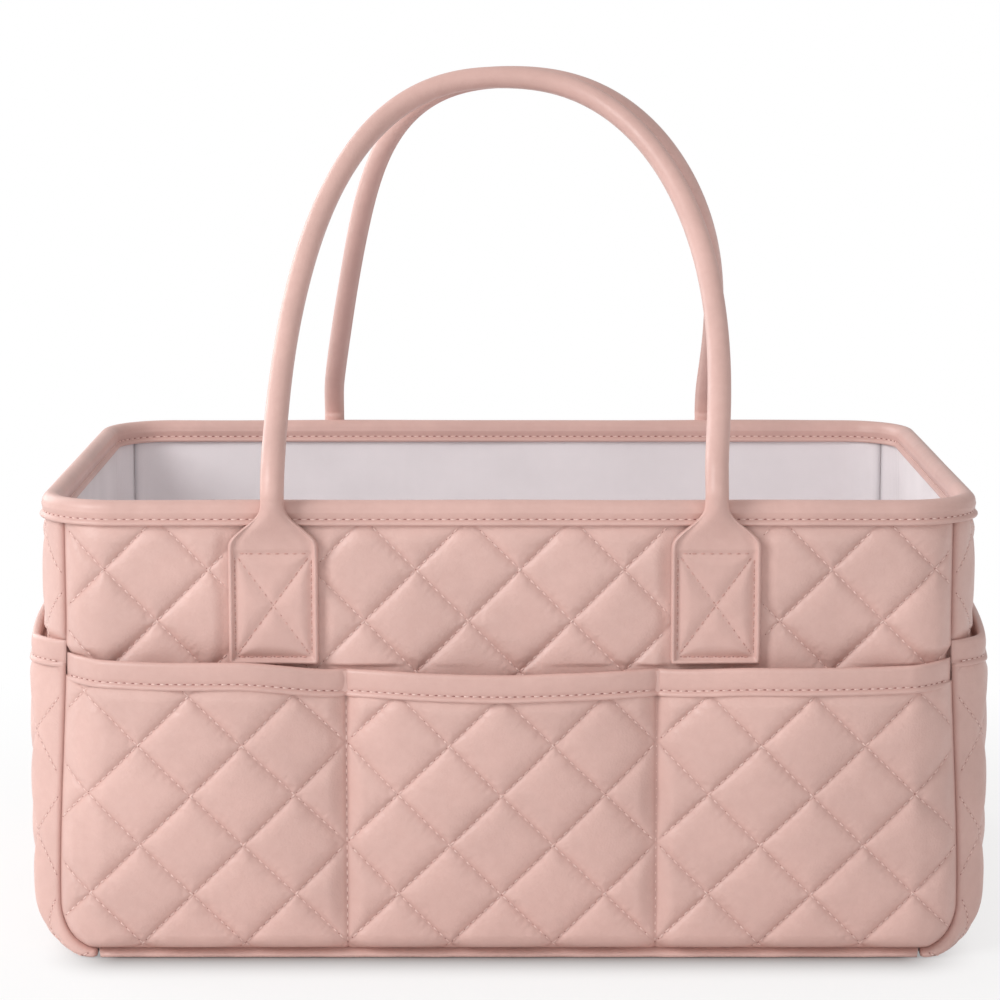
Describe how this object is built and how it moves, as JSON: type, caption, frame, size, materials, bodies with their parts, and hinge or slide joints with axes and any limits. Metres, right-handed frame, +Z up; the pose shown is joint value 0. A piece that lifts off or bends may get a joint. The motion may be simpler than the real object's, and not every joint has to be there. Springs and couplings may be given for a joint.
{
  "type": "diaper caddy",
  "caption": "Soft quilted faux-leather diaper caddy with a lined open compartment, bound outer pockets on all sides and rolled carrying handles that fold out.",
  "frame": {"origin": "centre of the underside, on the surface that the caddy stands on", "axes": "+X to the right along the long side, seen from the front; +Y to the back; +Z up"},
  "size_m": [0.4072, 0.2776, 0.3517],
  "materials": {
    "quilted_leather": "soft matt faux leather, padded and stitched in diamonds",
    "smooth_leather": "smooth faux leather with a low sheen",
    "lining_cloth": "plain light grey woven cloth",
    "stiff_board": "plain board, hidden",
    "core_cord": "twisted cotton cord, hidden"
  },
  "bodies": {
    "caddy": {"side_and_base_strip": "quilted_leather", "front_panel": "quilted_leather", "front_pocket": "quilted_leather", "front_pocket_binding": "smooth_leather", "front_board": "stiff_board", "front_lining": "lining_cloth", "front_tab_a": "smooth_leather", "front_tab_b": "smooth_leather", "back_panel": "quilted_leather", "back_pocket": "quilted_leather", "back_pocket_binding": "smooth_leather", "back_board": "stiff_board", "back_lining": "lining_cloth", "back_tab_a": "smooth_leather", "back_tab_b": "smooth_leather", "left_pocket": "quilted_leather", "left_pocket_binding": "smooth_leather", "left_board": "stiff_board", "left_lining": "lining_cloth", "right_pocket": "quilted_leather", "right_pocket_binding": "smooth_leather", "right_board": "stiff_board", "right_lining": "lining_cloth", "base_board": "stiff_board", "floor_lining": "lining_cloth", "rim_binding": "smooth_leather"},
    "front_handle": {"front_handle_cover": "smooth_leather", "front_handle_core": "core_cord"},
    "back_handle": {"back_handle_cover": "smooth_leather", "back_handle_core": "core_cord"}
  },
  "joints": [
    {"name": "front_handle_swing", "type": "hinge", "parent": "caddy", "child": "front_handle", "pos_m": [0, -0.1315, 0.191], "axis": [1, 0, 0], "range_deg": [0, 135]},
    {"name": "back_handle_swing", "type": "hinge", "parent": "caddy", "child": "back_handle", "pos_m": [0, 0.1315, 0.191], "axis": [-1, 0, 0], "range_deg": [0, 135]}
  ]
}
